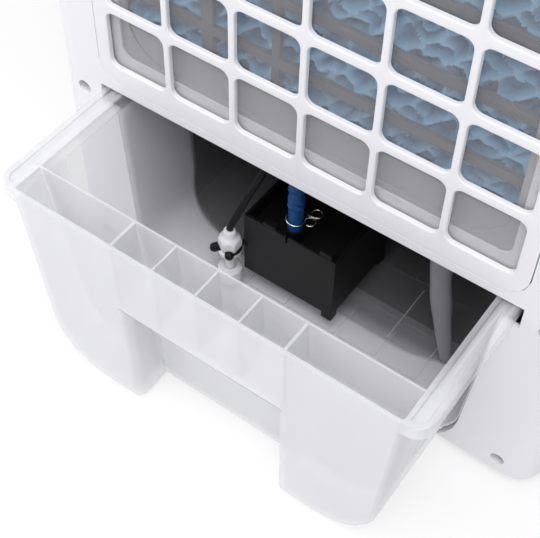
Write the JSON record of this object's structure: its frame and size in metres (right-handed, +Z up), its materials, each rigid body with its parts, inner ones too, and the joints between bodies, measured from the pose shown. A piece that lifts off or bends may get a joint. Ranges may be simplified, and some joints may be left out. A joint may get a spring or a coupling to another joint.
{
  "type": "evaporative cooler",
  "caption": "Tower evaporative air cooler seen from behind: white housing, lattice rear grille over a wet pad, pull-out water tank with pump and hose, blower and outlet louvres.",
  "frame": {"origin": "on the floor, in the middle of the object's box with the tank pulled out", "axes": "+Z up, -Y towards the rear grille and the tank's pull direction, +X to the right seen from behind"},
  "size_m": [0.32, 0.384, 0.6618],
  "materials": {
    "white_plastic": "satin white moulded plastic",
    "tank_plastic": "milky translucent plastic",
    "charcoal_plastic": "charcoal moulded plastic",
    "black_plastic": "black moulded plastic",
    "grey_plastic": "grey moulded plastic",
    "mesh_grey": "fine grey net",
    "pad_blue": "crinkled fibre pad",
    "hose_blue": "soft blue hose",
    "hose_grey": "soft translucent grey hose",
    "steel": "bright steel",
    "rubber": "black rubber",
    "panel_dark": "dark gloss panel"
  },
  "bodies": {
    "housing": {"rear_shell": "white_plastic", "front_shell": "white_plastic", "top_cover": "white_plastic", "control_panel": "panel_dark", "base_pan": "charcoal_plastic", "pad_frame": "grey_plastic", "cooling_pad": "pad_blue", "drip_tray": "white_plastic", "water_distributor": "white_plastic", "pump_housing": "black_plastic", "pump_motor": "black_plastic", "pump_hanger": "black_plastic", "outlet_hose": "hose_blue", "riser_pipe": "hose_blue", "hose_clamp": "steel", "sensor_stem": "white_plastic", "sensor_clip": "black_plastic", "sensor_lead": "black_plastic", "return_hose": "hose_grey", "scroll_housing": "grey_plastic", "inlet_plate": "grey_plastic", "motor_bracket": "steel", "fan_motor": "grey_plastic", "outlet_duct": "grey_plastic", "outlet_frame": "grey_plastic", "case_screw_1": "steel", "case_screw_2": "steel", "case_screw_3": "steel", "case_screw_4": "steel", "case_screw_5": "steel", "case_screw_6": "steel", "case_screw_7": "steel", "case_screw_8": "steel", "foot_1": "rubber", "foot_2": "rubber", "foot_3": "rubber", "foot_4": "rubber"},
    "tank": {"water_tank": "tank_plastic"},
    "grille": {"rear_grille": "white_plastic", "mesh_filter": "mesh_grey"},
    "fan": {"blower_wheel": "charcoal_plastic", "fan_shaft": "steel"},
    "float": {"level_float": "white_plastic"},
    "button_1": {"button_1": "white_plastic"},
    "button_2": {"button_2": "white_plastic"},
    "button_3": {"button_3": "white_plastic"},
    "button_4": {"button_4": "white_plastic"},
    "louvre_1": {"louvre_1": "white_plastic"},
    "louvre_2": {"louvre_2": "white_plastic"},
    "louvre_3": {"louvre_3": "white_plastic"},
    "louvre_4": {"louvre_4": "white_plastic"},
    "louvre_5": {"louvre_5": "white_plastic"},
    "vane_1": {"vane_1": "grey_plastic"},
    "vane_2": {"vane_2": "grey_plastic"},
    "vane_3": {"vane_3": "grey_plastic"},
    "vane_4": {"vane_4": "grey_plastic"},
    "vane_5": {"vane_5": "grey_plastic"},
    "vane_6": {"vane_6": "grey_plastic"}
  },
  "joints": [
    {"name": "tank_slide", "type": "slide", "parent": "housing", "child": "tank", "axis": [0, -1, 0], "range_m": [-0.064, 0.05]},
    {"name": "grille_lift", "type": "slide", "parent": "housing", "child": "grille", "axis": [0, -1, 0], "range_m": [0, 0.06]},
    {"name": "fan_spin", "type": "hinge", "parent": "housing", "child": "fan", "pos_m": [0.022, 0.002, 0.32], "axis": [0, 1, 0], "continuous": true},
    {"name": "float_travel", "type": "slide", "parent": "housing", "child": "float", "axis": [0, 0, 1], "range_m": [0, 0.006]},
    {"name": "button_1_press", "type": "slide", "parent": "housing", "child": "button_1", "axis": [0, 0, -1], "range_m": [0, 0.0015], "stiffness_N_per_m": 400, "springref_m": -0.0005},
    {"name": "button_2_press", "type": "slide", "parent": "housing", "child": "button_2", "axis": [0, 0, -1], "range_m": [0, 0.0015], "stiffness_N_per_m": 400, "springref_m": -0.0005},
    {"name": "button_3_press", "type": "slide", "parent": "housing", "child": "button_3", "axis": [0, 0, -1], "range_m": [0, 0.0015], "stiffness_N_per_m": 400, "springref_m": -0.0005},
    {"name": "button_4_press", "type": "slide", "parent": "housing", "child": "button_4", "axis": [0, 0, -1], "range_m": [0, 0.0015], "stiffness_N_per_m": 400, "springref_m": -0.0005},
    {"name": "louvre_tilt", "type": "hinge", "parent": "housing", "child": "louvre_1", "pos_m": [0, 0.174, 0.462], "axis": [1, 0, 0], "range_deg": [-30, 30]},
    {"name": "louvre_2_tilt", "type": "hinge", "parent": "housing", "child": "louvre_2", "pos_m": [0, 0.174, 0.492], "axis": [1, 0, 0], "range_deg": [-30, 30]},
    {"name": "louvre_3_tilt", "type": "hinge", "parent": "housing", "child": "louvre_3", "pos_m": [0, 0.174, 0.522], "axis": [1, 0, 0], "range_deg": [-30, 30]},
    {"name": "louvre_4_tilt", "type": "hinge", "parent": "housing", "child": "louvre_4", "pos_m": [0, 0.174, 0.552], "axis": [1, 0, 0], "range_deg": [-30, 30]},
    {"name": "louvre_5_tilt", "type": "hinge", "parent": "housing", "child": "louvre_5", "pos_m": [0, 0.174, 0.582], "axis": [1, 0, 0], "range_deg": [-30, 30]},
    {"name": "vane_swing", "type": "hinge", "parent": "housing", "child": "vane_1", "pos_m": [-0.085, 0.134, 0.522], "axis": [0, 0, 1], "range_deg": [-30, 30]},
    {"name": "vane_2_swing", "type": "hinge", "parent": "housing", "child": "vane_2", "pos_m": [-0.051, 0.134, 0.522], "axis": [0, 0, 1], "range_deg": [-30, 30]},
    {"name": "vane_3_swing", "type": "hinge", "parent": "housing", "child": "vane_3", "pos_m": [-0.017, 0.134, 0.522], "axis": [0, 0, 1], "range_deg": [-30, 30]},
    {"name": "vane_4_swing", "type": "hinge", "parent": "housing", "child": "vane_4", "pos_m": [0.017, 0.134, 0.522], "axis": [0, 0, 1], "range_deg": [-30, 30]},
    {"name": "vane_5_swing", "type": "hinge", "parent": "housing", "child": "vane_5", "pos_m": [0.051, 0.134, 0.522], "axis": [0, 0, 1], "range_deg": [-30, 30]},
    {"name": "vane_6_swing", "type": "hinge", "parent": "housing", "child": "vane_6", "pos_m": [0.085, 0.134, 0.522], "axis": [0, 0, 1], "range_deg": [-30, 30]}
  ],
  "couplings": [
    {"joint": "louvre_2_tilt", "follows": "louvre_tilt", "ratio": 1},
    {"joint": "louvre_3_tilt", "follows": "louvre_tilt", "ratio": 1},
    {"joint": "louvre_4_tilt", "follows": "louvre_tilt", "ratio": 1},
    {"joint": "louvre_5_tilt", "follows": "louvre_tilt", "ratio": 1},
    {"joint": "vane_2_swing", "follows": "vane_swing", "ratio": 1},
    {"joint": "vane_3_swing", "follows": "vane_swing", "ratio": 1},
    {"joint": "vane_4_swing", "follows": "vane_swing", "ratio": 1},
    {"joint": "vane_5_swing", "follows": "vane_swing", "ratio": 1},
    {"joint": "vane_6_swing", "follows": "vane_swing", "ratio": 1}
  ]
}
